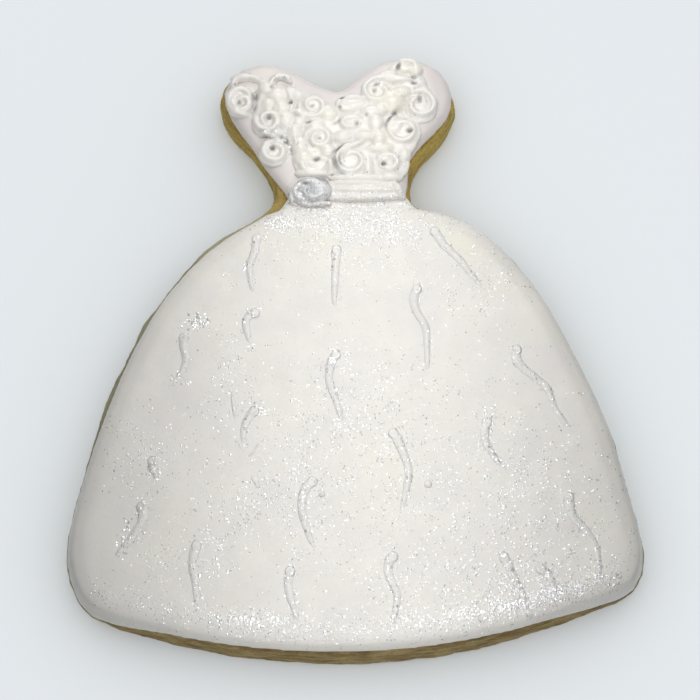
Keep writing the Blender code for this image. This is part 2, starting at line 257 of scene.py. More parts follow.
# The silver rosette: the heart of its coil, its dome and the rims around them.
ROSETTE_DABS = (
    Dab(-6.3, 27.6, 2.2, 2.0, 1.25), Dab(-8.6, 29.5, 1.9, 0.7, 0.50, 4.0),
    Dab(-6.0, 29.6, 1.5, 0.55, 0.50, -25.0), Dab(-9.4, 27.0, 1.6, 1.7, 0.60),
)
ROSETTE_RIM = (
    Dab(-9.4, 25.4, 2.1, 0.7, 0.60, -18.0), Dab(-6.4, 25.1, 2.4, 0.5, 0.55, 3.0),
    Dab(-11.2, 27.0, 0.6, 1.7, 0.75, -8.0), Dab(-8.4, 27.3, 3.2, 2.1, 0.70),
)

# Where the rosette's silver gives way to white icing, and a painted highlight along its lower rim.
ROSETTE_PALES_AND_HIGHLIGHT = (
    Spot(-11.4, 26.8, 0.8, 1.8, 0.9), Spot(-9.4, 25.1, 2.0, 0.7, 0.8, -18.0),
    Spot(-6.2, 24.9, 2.6, 0.55, 0.8), Spot(-8.8, 30.1, 1.8, 0.5, 0.8),
    Spot(-4.2, 27.0, 0.4, 1.8, 0.5), Spot(-10.3, 27.6, 0.5, 0.6, 0.4),
)

# Glitter from the bodice and the rosette down to the hem.
GLITTER_ZONES = (
    Zone(-3.0, 34.2, 2.2, 1.2, 50, 6), Zone(-12.6, 37.4, 0.7, 1.4, 30, 6),
    Zone(11.2, 49.5, 1.2, 0.8, 20, 4), Zone(-8.6, 26.6, 2.4, 1.6, 420, 40, 1.1),
    Zone(-6.5, 24.4, 2.6, 0.6, 160, 30, 1.5), Zone(3.0, 25.6, 5.0, 0.7, 160, 50, 1.3),
    Zone(-1.5, 21.8, 8.5, 2.8, 2300, 260, 1.3), Zone(5.0, 20.5, 5.5, 2.5, 620, 90, 1.3),
    Zone(-13.4, 21.4, 1.5, 0.7, 330, 30, 1.5), Zone(3.0, 25.5, 4.5, 0.35, 20, 70, 1.2),
    Zone(-2.0, 17.0, 9.5, 5.5, 1500, 120, 1.1),
    Zone(21.0, 10.0, 6.5, 6.0, 600, 70, 1.2),
    Zone(-21.5, -8.0, 2.4, 5.0, 280, 90, 1.4), Zone(0.0, -13.0, 6.5, 7.0, 900, 300, 1.45),
    Zone(-36.0, -22.0, 5.5, 5.0, 560, 100, 1.4), Zone(-11.0, -26.0, 3.4, 4.6, 420, 120, 1.45),
    Zone(-19.5, -32.0, 4.0, 3.2, 430, 90, 1.4), Zone(30.0, -34.0, 8.0, 9.5, 2500, 380, 1.4),
    Zone(-31.0, -41.0, 3.4, 3.0, 420, 30, 1.1), Zone(6.0, -26.0, 17.0, 13.0, 2500, 2000, 1.45),
    Zone(-19.5, 12.9, 0.5, 0.4, 34, 2, 2.0), Zone(-22.1, 10.4, 0.9, 0.9, 18, 12),
    Zone(-17.7, 4.1, 0.9, 0.6, 40, 14, 1.8), Zone(-27.9, 2.0, 1.1, 0.8, 110, 10, 2.2),
    Zone(-16.9, -14.1, 0.8, 0.7, 40, 12, 2.0), Zone(-4.0, -5.0, 0.5, 0.9, 30, 14, 2.0),
    Zone(-22.1, -5.2, 0.5, 0.5, 6, 16), Zone(-31.3, -8.9, 1.2, 0.6, 34, 8, 1.7),
    Zone(23.0, -14.8, 0.9, 0.7, 44, 12, 2.0), Zone(24.7, 10.6, 2.4, 1.0, 60, 20, 1.8),
    Zone(21.9, 5.4, 1.4, 0.9, 30, 8, 1.8), Zone(11.3, 9.2, 0.7, 0.4, 18, 4, 1.8),
    Zone(27.7, -2.7, 0.5, 0.6, 20, 5, 1.8), Zone(-37.6, -37.0, 1.0, 2.4, 70, 10, 2.0),
    Zone(-23.5, -40.5, 1.6, 3.0, 130, 20, 1.9), Zone(-9.5, -41.0, 1.2, 3.0, 60, 20, 1.7),
    Zone(8.0, -42.0, 6.0, 4.0, 500, 120, 1.1), Zone(-16.7, -51.1, 4.4, 0.8, 420, 10, 1.7),
    # Rows from here through the one at (-12.4, 38.0): bright flakes in thin bars along the shiny
    # edges of the scrolls and the rosette's lower rim, standing in for the wet icing's highlights, a
    # painted highlight; the flakes on the rosette's coil are real glitter.
    Zone(-15.8, 39.5, 1.0, 0.2, 26, 0, 1.8), Zone(-13.0, 50.9, 0.9, 0.2, 22, 0, 1.8),
    Zone(-20.9, 51.7, 1.2, 0.2, 20, 0, 1.6), Zone(-10.2, 26.7, 0.7, 0.8, 44, 4, 1.6),
    Zone(-6.4, 25.0, 2.2, 0.3, 110, 10, 1.6), Zone(0.2, 31.0, 2.0, 0.2, 26, 4, 1.5),
    Zone(7.6, 33.6, 0.6, 1.2, 30, 4, 1.4), Zone(10.6, 45.5, 0.5, 2.2, 26, 8, 1.3),
    Zone(-8.8, 37.0, 1.6, 0.3, 20, 2, 1.4), Zone(-12.4, 38.0, 0.3, 1.4, 24, 10, 1.4),
    # This zone, those below it and the one at (-16.7, -51.1) are real glitter that is also laid as
    # the hem's glossy band: partly a painted highlight.
    Zone(22.0, -45.5, 10.0, 2.6, 600, 60, 1.6),
    Zone(13.0, -51.0, 3.5, 0.9, 260, 10, 1.7), Zone(20.5, -49.8, 3.5, 0.9, 320, 10, 1.7),
    Zone(27.5, -48.3, 3.5, 0.9, 340, 10, 1.7), Zone(34.5, -46.2, 3.0, 0.9, 260, 10, 1.7),
    Zone(40.5, -44.3, 2.0, 1.0, 120, 10, 1.6),
)

# Painted shade: dips and rims of the rosette painted dark with the silver dust's colour.
ROSETTE_SHADES = (
    Spot(-9.0, 28.6, 0.95, 0.40, 1.0, -12.0), Spot(-6.0, 29.5, 1.50, 0.45, 0.9, -25.0),
    Spot(-4.9, 28.7, 0.40, 0.70, 0.5), Spot(-10.9, 25.2, 1.50, 0.28, 0.5, -25.0),
    Spot(-9.8, 27.1, 0.30, 0.35, 0.9), Spot(-8.4, 26.4, 0.25, 0.90, 0.4, 20.0),
)

# ---------------------------------------------------------------------------
# Settings that a user would change
# ---------------------------------------------------------------------------


class CookieSizes(bpy.types.PropertyGroup):
    """Sizes of the modelled surfaces."""

    icing_swell: bpy.props.FloatProperty(
        name="Icing swell",
        description="Depth of the slow rise and fall of the flooded icing",
        default=0.25 * MM, min=0.0, unit="LENGTH", precision=5,
    )
    biscuit_roughness: bpy.props.FloatProperty(
        name="Biscuit roughness",
        description="Depth of the crumb on the biscuit's side",
        default=0.5 * MM, min=0.0, unit="LENGTH", precision=5,
    )
    hem_spread: bpy.props.FloatProperty(
        name="Hem spread",
        description="How far the foot of the biscuit spreads beyond its top at the hem",
        default=0.70 * MM, min=0.0, unit="LENGTH", precision=5,
    )
    scroll_swell: bpy.props.FloatProperty(
        name="Scroll swell",
        description="How far the scrolls swell beyond the frame's strokes",
        default=0.28 * MM, min=0.0, unit="LENGTH", precision=5,
    )
    scroll_sink: bpy.props.FloatProperty(
        name="Scroll sink",
        description="How deep the scrolls sink into the icing between them",
        default=0.20 * MM, min=0.0, unit="LENGTH", precision=5,
    )
    curl_swell: bpy.props.FloatProperty(
        name="Wavy line swell",
        description="How far the wavy lines spread beyond the frame's",
        default=0.20 * MM, min=0.0, unit="LENGTH", precision=5,
    )
    curl_height: bpy.props.FloatProperty(
        name="Wavy line height",
        description="How far the wavy lines stand above the skirt's icing",
        default=0.26 * MM, min=0.0, unit="LENGTH", precision=5,
    )
    flake_size: bpy.props.FloatProperty(
        name="Glitter size",
        description="Largest width of a flake of fine glitter",
        default=0.38 * MM, min=0.0, unit="LENGTH", precision=5,
    )


class CookieColours(bpy.types.PropertyGroup):
    """Colours of the finishes."""

    icing: bpy.props.FloatVectorProperty(
        name="Icing", description="Colour of the flooded and piped icing",
        subtype="COLOR", default=(0.90, 0.866, 0.812), min=0.0, max=1.0,
    )
    base_icing: bpy.props.FloatVectorProperty(
        name="Base icing", description="Colour of the thin icing under the scrolls",
        subtype="COLOR", default=(0.85, 0.79, 0.76), min=0.0, max=1.0,
    )
    biscuit: bpy.props.FloatVectorProperty(
        name="Biscuit", description="Colour of the biscuit's pale crumb",
        subtype="COLOR", default=(0.46, 0.35, 0.155), min=0.0, max=1.0,
    )
    golden: bpy.props.FloatVectorProperty(
        name="Golden biscuit", description="Colour of the biscuit's crumb beside the bodice",
        subtype="COLOR", default=(0.69, 0.505, 0.135), min=0.0, max=1.0,
    )
    crust: bpy.props.FloatVectorProperty(
        name="Crust", description="Colour of the browned layers",
        subtype="COLOR", default=(0.21, 0.14, 0.05), min=0.0, max=1.0,
    )
    silver: bpy.props.FloatVectorProperty(
        name="Silver", description="Colour of the lustre and the glitter",
        subtype="COLOR", default=(0.74, 0.74, 0.745), min=0.0, max=1.0,
    )
    floor: bpy.props.FloatVectorProperty(
        name="Floor", description="Colour of the floor",
        subtype="COLOR", default=(0.78, 0.815, 0.84), min=0.0, max=1.0,
    )


# ---------------------------------------------------------------------------
# Modelling helpers
# ---------------------------------------------------------------------------


def select_only(*objects):
    """Make these the only selected objects, the first of them active."""
    bpy.ops.object.select_all(action="DESELECT")
    for item in objects:
        item.select_set(True)
    bpy.context.view_layer.objects.active = objects[0]


def copy_nodes(name, nodes):
    """One new object that holds a merged copy of each of these frame nodes."""
    copies = []
    for node in nodes:
        copied = bpy.data.objects.new(name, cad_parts[node].data.copy())
        bpy.context.scene.collection.objects.link(copied)
        copies.append(copied)
    select_only(*copies)
    if len(copies) > 1:
        bpy.ops.object.join()
    piece = bpy.context.view_layer.objects.active
    piece.name = name
    piece.data.name = name
    bpy.ops.object.mode_set(mode="EDIT")
    bpy.ops.mesh.select_all(action="SELECT")
    bpy.ops.mesh.remove_doubles(threshold=0.01 * MM)
    bpy.ops.mesh.normals_make_consistent(inside=False)
    bpy.ops.object.mode_set(mode="OBJECT")
    piece.data.materials.clear()
    return piece


def modify(piece, kind, **settings):
    """Add one modifier with these settings and apply it."""
    select_only(piece)
    bpy.ops.object.modifier_add(type=kind)
    added = piece.modifiers[-1]
    for setting, value in settings.items():
        setattr(added, setting, value)
    bpy.ops.object.modifier_apply(modifier=added.name)


def shift(piece, offset):
    """Move all of a piece's mesh by an offset in metres."""
    select_only(piece)
    bpy.ops.object.mode_set(mode="EDIT")
    bpy.ops.mesh.select_all(action="SELECT")
    bpy.ops.transform.translate(value=offset)
    bpy.ops.object.mode_set(mode="OBJECT")


def cloud_texture(name, size, depth=2):
    """Soft noise for a Displace modifier, its lumps about size across."""
    texture = bpy.data.textures.new(name, "CLOUDS")
    texture.noise_scale = size
    texture.noise_depth = depth
    return texture


def roughen(piece, size, depth, stretch=(1.0, 1.0, 1.0), detail=2):
    """Displace along the normals by soft noise, its lumps stretched along each axis."""
    bpy.ops.object.select_all(action="DESELECT")
    bpy.ops.object.empty_add(type="PLAIN_AXES", location=(0.0, 0.0, 0.0))
    axes = bpy.context.active_object
    axes.scale = stretch
    bpy.context.view_layer.update()
    texture = cloud_texture(piece.name + "_lumps", size, detail)
    modify(
        piece, "DISPLACE", texture=texture, strength=depth, mid_level=0.5,
        texture_coords="OBJECT", texture_coords_object=axes,
    )
    bpy.data.objects.remove(axes)
    bpy.data.textures.remove(texture)


def refine(piece, voxel, smoothing, rounds):
    """Turn a faceted solid into an even skin and soften it."""
    modify(piece, "REMESH", mode="VOXEL", voxel_size=voxel, use_smooth_shade=True)
    if rounds:
        modify(piece, "SMOOTH", factor=smoothing, iterations=rounds)


def add_dabs(piece, dabs, floor_z):
    """Join flattened balls of icing, their centres at one height, to a piece."""
    balls = []
    for dab in dabs:
        bpy.ops.object.select_all(action="DESELECT")
        bpy.ops.mesh.primitive_uv_sphere_add(
            segments=32, ring_count=16, radius=MM, location=(dab.x * MM, dab.y * MM, floor_z),
            rotation=(0.0, 0.0, math.radians(dab.turn)),
            scale=(dab.reach_x, dab.reach_y, dab.height),
        )
        ball = bpy.context.active_object
        bpy.ops.object.transform_apply(location=True, rotation=True, scale=True)
        balls.append(ball)
    select_only(piece, *balls)
    bpy.ops.object.join()


def add_ring(piece, place, reach, thickness, tilt=(0.0, 0.0)):
    """Join a ring of icing to a piece; place and reach are in millimetres."""
    bpy.ops.object.select_all(action="DESELECT")
    bpy.ops.mesh.primitive_torus_add(
        location=[along * MM for along in place], rotation=(*tilt, 0.0),
        major_segments=40, minor_segments=12, major_radius=MM, minor_radius=thickness / reach[0] * MM,
    )
    ring = bpy.context.active_object
    ring.scale = (reach[0], reach[1], reach[0])
    bpy.ops.object.transform_apply(location=True, rotation=True, scale=True)
    select_only(piece, ring)
    bpy.ops.object.join()


def vertex_places(piece):
    """The piece's vertices as an array of places in metres."""
    places = np.empty(len(piece.data.vertices) * 3, np.float64)
    piece.data.vertices.foreach_get("co", places)
    return places.reshape(-1, 3)


def set_vertex_places(piece, places):
    piece.data.vertices.foreach_set("co", places.astype(np.float32).ravel())
    piece.data.update()


def settle(piece, node):
    """Stretch a piece's lower part down across the frame's gap to what it rests on."""
    low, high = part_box(node)
    places = vertex_places(piece)
    share = np.clip((high.z - places[:, 2]) / (high.z - low.z), 0.0, 1.0)
    places[:, 2] -= share ** 2 * (FRAME_GAP + TOUCH)
    set_vertex_places(piece, places)


def spot_share(places, spot):
    """How strongly a soft spot touches each place, from 0 to its strength."""
    turn = math.radians(spot.turn)
    across = places[:, 0] / MM - spot.x
    along = places[:, 1] / MM - spot.y
    u = (across * math.cos(turn) + along * math.sin(turn)) / spot.reach_x
    v = (along * math.cos(turn) - across * math.sin(turn)) / spot.reach_y
    return spot.strength * np.exp(-(u * u + v * v))


def paint_spots(piece, attribute, *groups):
    """Store the strongest touch of these groups of spots as a vertex attribute."""
    places = vertex_places(piece)
    painted = np.zeros(len(places))
    for spots in groups:
        for spot in spots:
            painted = np.maximum(painted, spot_share(places, spot))
    layer = piece.data.attributes.new(attribute, "FLOAT", "POINT")
    layer.data.foreach_set("value", painted.astype(np.float32))


def paint_rim_thin_and_shade(piece, node):
    """Store how near each vertex lies to the icing's thin edge, most at the lower left: the biscuit
    shows through there, and the mark is also painted shade on the rounded edge.
    """
    places = vertex_places(piece)
    low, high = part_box(node)
    rim = np.clip((high.z - 0.5 * MM - places[:, 2]) / (high.z - low.z - 0.8 * MM), 0.0, 1.0)
    corner = Spot(-46.0, -42.0, 16.0, 16.0)
    share = rim * (0.30 + 0.60 * spot_share(places, corner))
    layer = piece.data.attributes.new("rim", "FLOAT", "POINT")
    layer.data.foreach_set("value", share.astype(np.float32))


def paint_hollows(piece, attribute, cell, rounds, depth):
    """Store, as a vertex attribute for painted shade, how far each vertex lies below the heights
    around it.
    """
    places = vertex_places(piece)
    low = places.min(axis=0)
    columns = ((places[:, :2] - low[:2]) / cell).astype(int)
    tops = np.full(columns.max(axis=0) + 1, low[2])
    at_vertex = (columns[:, 0], columns[:, 1])
    np.maximum.at(tops, at_vertex, places[:, 2])
    around = tops.copy()
    for _ in range(rounds):
        for axis in (0, 1):
            around = (np.roll(around, 1, axis) + around + np.roll(around, -1, axis)) / 3.0
    below = np.clip((around - tops)[at_vertex] / depth, 0.0, 1.0)
    layer = piece.data.attributes.new(attribute, "FLOAT", "POINT")
    layer.data.foreach_set("value", below.astype(np.float32))


def finish_piece(piece, finish, nodes):
    """Give a modelled piece its finish and its place in the frame."""
    select_only(piece)
    bpy.ops.object.shade_smooth()
    piece.data.materials.clear()
    piece.data.materials.append(finish)
    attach(piece, "root")
    if nodes:
        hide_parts(*nodes)


# ---------------------------------------------------------------------------
# Finishes
# ---------------------------------------------------------------------------


class Finish:
    """A material under construction: its nodes and the links between them."""

    def __init__(self, name):
        self.material = bpy.data.materials.new(name)
        self.material.use_nodes = True
        self.nodes = self.material.node_tree.nodes
        self.links = self.material.node_tree.links
        self.shader = self.nodes["Principled BSDF"]
        self.places = self.nodes.new("ShaderNodeTexCoord").outputs["Object"]

    def stretched(self, scale):
        """Object coordinates multiplied along each axis."""
        node = self.nodes.new("ShaderNodeMapping")
        node.inputs["Scale"].default_value = scale
        self.links.new(self.places, node.inputs["Vector"])
        return node.outputs["Vector"]

    def axes(self):
        """Object coordinates as three separate sockets."""
        node = self.nodes.new("ShaderNodeSeparateXYZ")
        self.links.new(self.places, node.inputs["Vector"])
        return node.outputs

    def noise(self, size, detail=2.0, roughness=0.5, places=None):
        """Noise whose lumps are about size metres across."""
        node = self.nodes.new("ShaderNodeTexNoise")
        node.inputs["Scale"].default_value = 1.0 / size
        node.inputs["Detail"].default_value = detail
        node.inputs["Roughness"].default_value = roughness
        self.links.new(places or self.places, node.inputs["Vector"])
        return node.outputs["Fac"]

    def span(self, value, low, high, to_low, to_high):
        """A value from low to high, carried over to another span."""
        node = self.nodes.new("ShaderNodeMapRange")
        for socket, number in (
            ("From Min", low), ("From Max", high), ("To Min", to_low), ("To Max", to_high),
        ):
            node.inputs[socket].default_value = number
        self.links.new(value, node.inputs["Value"])
        return node.outputs["Result"]

    def blend(self, share, first, second):
        """A colour between two colours or colour sockets."""
        node = self.nodes.new("ShaderNodeMix")
        node.data_type = "RGBA"
        self.links.new(share, node.inputs["Factor"])
        for socket, colour in ((node.inputs[6], first), (node.inputs[7], second)):
            if isinstance(colour, bpy.types.NodeSocket):
                self.links.new(colour, socket)
            else:
                socket.default_value = (*colour, 1.0)
        return node.outputs[2]

    def multiply(self, first, second):
        node = self.nodes.new("ShaderNodeMath")
        node.operation = "MULTIPLY"
        for socket, value in zip(node.inputs, (first, second)):
            if isinstance(value, bpy.types.NodeSocket):
                self.links.new(value, socket)
            else:
                socket.default_value = value
        return node.outputs["Value"]

    def attribute(self, name):
        node = self.nodes.new("ShaderNodeAttribute")
        node.attribute_name = name
        return node.outputs["Fac"]

    def bump(self, height, depth, strength=1.0):
        node = self.nodes.new("ShaderNodeBump")
        node.inputs["Distance"].default_value = depth
        node.inputs["Strength"].default_value = strength
        self.links.new(height, node.inputs["Height"])
        self.links.new(node.outputs["Normal"], self.shader.inputs["Normal"])

    def feed(self, socket, value):
        self.links.new(value, self.shader.inputs[socket])

    def set(self, **values):
        """Set the shader's own sockets; an underscore stands for a space."""
        for name, value in values.items():
            self.shader.inputs[name.replace("_", " ")].default_value = value


def scaled(colour, factor, blue=1.0):
    """A colour made brighter or darker, its blue by a further factor."""
    return tuple(
        min(1.0, channel * factor * share) for channel, share in zip(colour, (1.0, 1.0, blue))
    )


# Colour of icing so thin that the biscuit shows through it, also used as painted shade on the icing's
# rounded edge.
THIN_AND_SHADED_ICING = (0.60, 0.585, 0.50)


def icing_finish(name, colour, shine, lustre_colour=None, coat=0.25, coat_roughness=0.25):
    """Set royal icing: near white, faintly mottled, satin, with a little depth.

    With a colour for the silver, it also darkens the piece's dips as painted shade and mixes in its
    rubbed-in silver, which also carries painted shade at the pits.
    """
    finish = Finish(name)
    mottle = finish.noise(9.0 * MM, detail=3.0)
    tint = finish.blend(
        finish.span(mottle, 0.35, 0.65, 0.0, 1.0),
        scaled(colour, 0.965, blue=1.012), scaled(colour, 1.02, blue=0.985),
    )
    tint = finish.blend(
        finish.multiply(finish.attribute("cream"), 0.7), tint, scaled(colour, 1.0, blue=0.86)
    )
    # Thin icing showing the biscuit, and painted shade on the rounded edge, most at the lower left
    # corner.
    tint = finish.blend(finish.attribute("rim"), tint, THIN_AND_SHADED_ICING)
    cloud = finish.noise(2.4 * MM, detail=3.0, roughness=0.6)
    tint = finish.blend(finish.span(cloud, 0.3, 0.55, 0.35, 0.0), tint, scaled(colour, 0.95))
    grain = finish.noise(0.35 * MM, detail=2.0)
    tint = finish.blend(finish.span(grain, 0.3, 0.42, 0.22, 0.0), tint, scaled(colour, 0.80))
    gloss = finish.noise(3.0 * MM, detail=2.0)
    roughness = finish.span(gloss, 0.3, 0.7, shine - 0.06, shine + 0.08)
    if lustre_colour:
        # Painted shade: the dips between the strokes are darkened.
        hollow_shade = finish.multiply(finish.attribute("hollow_shade"), 0.75)
        tint = finish.blend(hollow_shade, tint, scaled(colour, 0.66))
        # Rubbed-in silver, and painted shade where the pits and shadows are painted dark.
        lustre_and_shade = finish.attribute("lustre_and_shade")
        speckle = finish.noise(0.30 * MM, detail=2.0, roughness=0.6)
        patchy = finish.multiply(lustre_and_shade, finish.span(speckle, 0.35, 0.65, 0.75, 1.25))
        tint = finish.blend(patchy, tint, lustre_colour)
        finish.feed("Metallic", finish.multiply(patchy, 0.35))
    finish.feed("Base Color", tint)
    finish.feed("Roughness", roughness)
    finish.set(
        Subsurface_Weight=0.15, Subsurface_Scale=1.0 * MM, Subsurface_Radius=(1.0, 0.8, 0.6),
        Coat_Weight=coat, Coat_Roughness=coat_roughness, IOR=1.45,
    )
    finish.bump(finish.noise(0.9 * MM, detail=3.0, roughness=0.6), 0.02 * MM)
    return finish.material


def biscuit_finish(colours):
    """Baked dough: pale crumb in fine flat layers, browned towards the underside."""
    finish = Finish("baked_biscuit")
    flat = finish.stretched((1.0, 1.0, 5.5))
    layers = finish.noise(4.2 * MM, detail=4.0, roughness=0.65, places=flat)
    _, along, _ = finish.axes()
    golden = finish.span(along, 16.0 * MM, 30.0 * MM, 0.0, 1.0)
    pale = finish.blend(golden, tuple(colours.biscuit), tuple(colours.golden))
    brown = finish.blend(golden, tuple(colours.crust), scaled(colours.golden, 0.62))
    tint = finish.blend(finish.span(layers, 0.36, 0.62, 0.0, 1.0), brown, pale)
    crumb = finish.noise(0.55 * MM, detail=4.0, roughness=0.7)
    tint = finish.blend(
        finish.span(crumb, 0.32, 0.5, 0.55, 0.0), tint, scaled(colours.crust, 0.8)
    )
    # Painted light: the bare edges are painted paler and greyer.
    tint = finish.blend(finish.attribute("painted_light_edge"), tint, (0.50, 0.49, 0.34))
    finish.feed("Base Color", tint)
    finish.feed("Roughness", finish.span(crumb, 0.3, 0.7, 0.95, 0.75))
    finish.set(Subsurface_Weight=0.05, Subsurface_Scale=0.6 * MM, Specular_IOR_Level=0.25)
    finish.bump(finish.noise(0.4 * MM, detail=5.0, roughness=0.7), 0.12 * MM)
    return finish.material


def silver_finish(name, colour, roughness, metallic):
    """Silver dust over icing: pale, glossy and grainy, with painted shade in its dips and a painted
    highlight along its lower rim.
    """
    finish = Finish(name)
    patches = finish.noise(1.3 * MM, detail=3.0)
    tint = finish.blend(
        finish.span(patches, 0.38, 0.62, 0.0, 1.0), scaled(colour, 0.80), scaled(colour, 1.12)
    )
    grain = finish.noise(0.22 * MM, detail=3.0, roughness=0.7)
    tint = finish.blend(finish.span(grain, 0.35, 0.5, 0.35, 0.0), tint, scaled(colour, 0.5))
    # White icing around the silver, and a painted highlight along the lower rim.
    tint = finish.blend(finish.attribute("pale"), tint, (0.86, 0.84, 0.80))
    # Painted shade: the rosette's dips and rims are painted dark.
    tint = finish.blend(finish.attribute("lustre_and_shade"), tint, scaled(colour, 0.36))
    finish.feed("Base Color", tint)
    finish.feed("Roughness", finish.span(grain, 0.3, 0.7, roughness + 0.12, roughness - 0.1))
    finish.feed("Metallic", finish.span(patches, 0.3, 0.7, metallic + 0.15, metallic - 0.15))
    finish.set(Coat_Weight=0.45, Coat_Roughness=0.18)
    finish.bump(finish.noise(0.28 * MM, detail=3.0, roughness=0.6), 0.05 * MM)
    return finish.material


def flake_finish(name, colour, roughness, metallic):
    """Bright little metal flakes, each a slightly different shade."""
    finish = Finish(name)
    shade = finish.noise(0.5 * MM, detail=0.0)
    tint = finish.blend(
        finish.span(shade, 0.3, 0.7, 0.0, 1.0), scaled(colour, 0.8), scaled(colour, 1.2)
    )
    finish.feed("Base Color", tint)
    finish.feed("Roughness", finish.span(shade, 0.3, 0.7, roughness * 0.7, roughness * 1.3))
    finish.set(Metallic=metallic)
    return finish.material


# ---------------------------------------------------------------------------
# Pieces
# ---------------------------------------------------------------------------


def flood_skin(name, node, voxel, swell, draw_down=0.0):
    """Flooded icing: an even skin with a slow rise and fall, resting on the biscuit.

    Its lowest edge is drawn down by draw_down metres, under the piece below it.
    """
    piece = copy_nodes(name, [node])
    low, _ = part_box(node)
    places = vertex_places(piece)
    near_edge = np.clip((low.y + 2.5 * MM - places[:, 1]) / (2.5 * MM), 0.0, 1.0)
    places[:, 1] -= near_edge * draw_down
    if draw_down:
        places[:, 0] += near_edge * np.maximum(0.0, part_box("waist_band")[0].x - places[:, 0])
    set_vertex_places(piece, places)
    refine(piece, voxel, 0.5, 6)
    roughen(piece, 11.0 * MM, swell, stretch=(1.0, 1.0, 1.0))
    roughen(piece, 2.6 * MM, swell * 0.22)
    settle(piece, node)
    return piece


class COOKIE_OT_bake_biscuit(bpy.types.Operator):
    """Bake the thick biscuit with its layered, crumbly side"""

    bl_idname = "cookie.bake_biscuit"
    bl_label = "Bake biscuit"

    def execute(self, context):
        sizes = context.scene.cookie_sizes
        piece = copy_nodes("biscuit_body", ["biscuit"])
        refine(piece, 0.5 * MM, 0.5, 4)
        roughen(piece, 4.0 * MM, sizes.biscuit_roughness, stretch=(1.0, 1.0, 0.22), detail=3)
        roughen(piece, 0.9 * MM, sizes.biscuit_roughness * 0.35, stretch=(1.0, 1.0, 0.6))
        places = vertex_places(piece)
        low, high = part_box("biscuit")
        places[:, 2] = np.clip(places[:, 2], low.z, high.z + TOUCH)
        hem = np.clip((HEM_START - places[:, 1]) / (12.0 * MM), 0.0, 1.0)
        foot = 1.0 - (places[:, 2] - low.z) / (high.z - low.z)
        middle = np.maximum(1.0 - (places[:, 0] / HEM_MIDDLE) ** 2, -0.25)
        places[:, 1] -= hem * foot * middle * sizes.hem_spread
        normals = np.empty(len(places) * 3)
        piece.data.vertices.foreach_get("normal", normals)
        normals = normals.reshape(-1, 3)
        for edge in BARE_EDGES:
            places[:, :2] += spot_share(places, edge)[:, None] * normals[:, :2] * MM
        set_vertex_places(piece, places)
        # Painted light on the bare edges of the biscuit.
        paint_spots(piece, "painted_light_edge", PAINTED_LIGHT_EDGES)
        finish_piece(
            piece, biscuit_finish(context.scene.cookie_colours), ["biscuit"]
        )
        return {"FINISHED"}


class COOKIE_OT_flood_skirt(bpy.types.Operator):
    """Flood the skirt with white icing"""

    bl_idname = "cookie.flood_skirt"
    bl_label = "Flood skirt"

    def execute(self, context):
        scene = context.scene
        piece = flood_skin("skirt_flood", "skirt_icing", 0.42 * MM, scene.cookie_sizes.icing_swell)
        self.meet_waist(piece)
        self.hang_over(piece)
        paint_spots(piece, "cream", SKIRT_CREAM)
        # Thin icing and painted shade along the rounded edge, most at the lower left.
        paint_rim_thin_and_shade(piece, "skirt_icing")
        finish = icing_finish("skirt_icing_satin", scene.cookie_colours.icing, 0.40)
        finish_piece(piece, finish, ["skirt_icing"])
        return {"FINISHED"}

    def hang_over(self, piece):
        """Let the icing run over the biscuit's edge at both corners of the hem."""
        low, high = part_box("skirt_icing")
        places = vertex_places(piece)
        corner = np.clip((np.abs(places[:, 0]) - 31.0 * MM) / (13.0 * MM), 0.0, 1.0)
        corner *= np.clip((-26.0 * MM - places[:, 1]) / (14.0 * MM), 0.0, 1.0)
        rim = np.clip((high.z - 0.8 * MM - places[:, 2]) / (high.z - 0.8 * MM - low.z), 0.0, 1.0)
        outward = places[:, :2] - np.array((0.0, -15.0 * MM))
        outward /= np.linalg.norm(outward, axis=1)[:, None]
        places[:, :2] += (corner * rim)[:, None] * outward * 0.30 * MM
        places[:, 2] -= corner * rim * 2.4 * MM
        set_vertex_places(piece, places)
        modify(piece, "SMOOTH", factor=0.5, iterations=8)

    def meet_waist(self, piece):
        """Draw the icing's upper edge up under the waist band."""
        low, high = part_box("waist_band")
        places = vertex_places(piece)
        near_edge = np.clip((places[:, 1] - (low.y - 3.0 * MM)) / (2.0 * MM), 0.0, 1.0)
        outside = np.maximum(low.x - places[:, 0], places[:, 0] - high.x)
        under_band = np.clip(1.0 - outside / (1.5 * MM), 0.0, 1.0)
        places[:, 1] += near_edge * under_band * 2.2 * MM
        set_vertex_places(piece, places)


class COOKIE_OT_flood_bodice(bpy.types.Operator):
    """Flood the bodice with a thin coat of icing"""

    bl_idname = "cookie.flood_bodice"
    bl_label = "Flood bodice"

    def execute(self, context):
        scene = context.scene
        under_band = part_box("bodice_icing")[0].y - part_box("waist_band")[0].y
        piece = flood_skin(
            "bodice_flood", "bodice_icing", 0.35 * MM, scene.cookie_sizes.icing_swell,
            draw_down=under_band,
        )
        finish = icing_finish("bodice_icing_satin", scene.cookie_colours.base_icing, 0.42)
        finish_piece(piece, finish, ["bodice_icing"])
        return {"FINISHED"}


